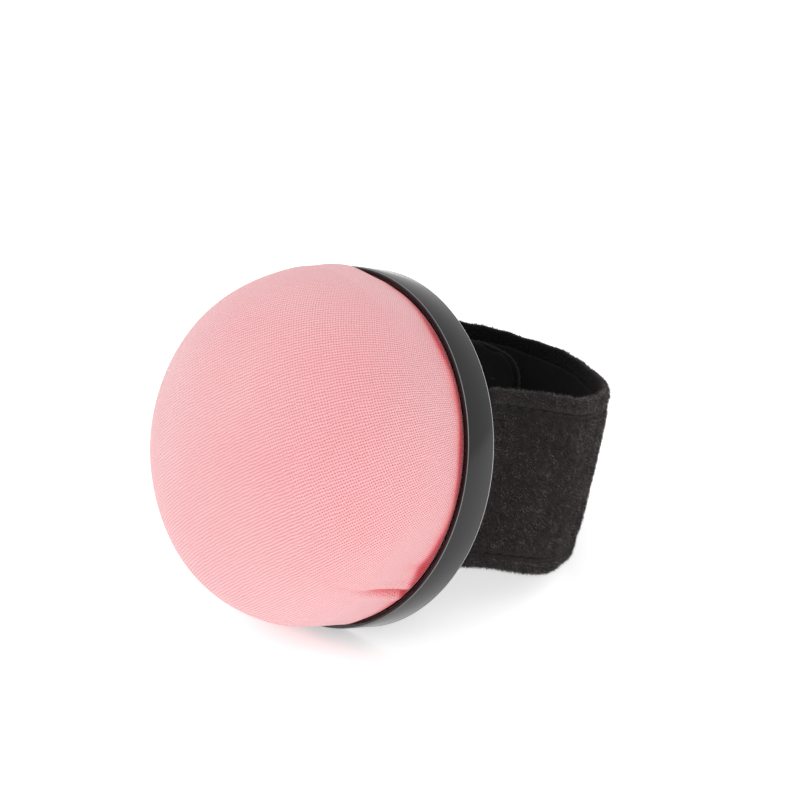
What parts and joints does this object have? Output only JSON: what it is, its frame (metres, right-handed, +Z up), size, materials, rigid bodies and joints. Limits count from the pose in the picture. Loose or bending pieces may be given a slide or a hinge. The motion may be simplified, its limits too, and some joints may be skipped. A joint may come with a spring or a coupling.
{
  "type": "wrist pincushion",
  "caption": "Stuffed pink knit dome in a shallow black plastic cup, worn on a padded black velour strap that peels open at a hook-and-loop closure.",
  "frame": {"origin": "floor point under the middle of the bounding box, as the object stands when put down", "axes": "+Z up; the dome faces -Y; +Y runs back through the strap's loop; +X is across the cup, towards the slot that the long half of the strap leaves by"},
  "size_m": [0.072, 0.1104, 0.0732],
  "materials": {
    "cup_plastic": "satin-gloss black",
    "guard_plastic": "matt black",
    "glue": "dried hot glue",
    "pink_knit": "fine stretch knit, soft sheen",
    "calico": "plain woven cotton",
    "fibre": "loose white fibre",
    "thread": "twisted thread",
    "black_thread": "twisted thread",
    "strap_velour": "short dense velour nap",
    "strap_lining": "smooth close-knit lining",
    "felt": "thin felt padding",
    "hook_tape": "rows of small hooks",
    "loop_tape": "brushed loops"
  },
  "bodies": {
    "cup": {"cup": "cup_plastic", "pin_guard": "guard_plastic", "glue_dab_upper": "glue", "glue_dab_lower": "glue", "knit_cover": "pink_knit", "under_cover": "calico", "fibre_filling": "fibre", "gather_thread": "thread", "middle_face": "strap_velour", "middle_padding": "felt", "middle_lining": "strap_lining"},
    "strap_long": {"long_face": "strap_velour", "long_padding": "felt", "long_lining": "strap_lining", "long_seam_upper": "black_thread", "long_seam_lower": "black_thread"},
    "strap_tab": {"tab_face": "strap_velour", "tab_padding": "felt", "tab_lining": "strap_lining", "tab_seam": "black_thread", "hook_tape": "hook_tape", "hook_seam": "black_thread"},
    "strap_short": {"short_face": "strap_velour", "short_padding": "felt", "short_lining": "strap_lining", "loop_tape": "loop_tape", "loop_seam": "black_thread"}
  },
  "joints": [
    {"name": "tab_peel", "type": "hinge", "parent": "strap_long", "child": "strap_tab", "pos_m": [0.00693, 0.04385, 0.0169], "axis": [0, -0.2896, -0.9572], "range_deg": [0, 100]},
    {"name": "long_swing", "type": "hinge", "parent": "cup", "child": "strap_long", "pos_m": [0.0257, -0.01255, 0.03396], "axis": [0, -0.2896, -0.9572], "range_deg": [0, 40]},
    {"name": "short_swing", "type": "hinge", "parent": "cup", "child": "strap_short", "pos_m": [-0.0257, -0.01255, 0.03396], "axis": [0, 0.2896, 0.9572], "range_deg": [0, 15]}
  ],
  "couplings": [
    {"joint": "long_swing", "follows": "tab_peel", "ratio": 0.4},
    {"joint": "short_swing", "follows": "tab_peel", "ratio": 0.15}
  ]
}
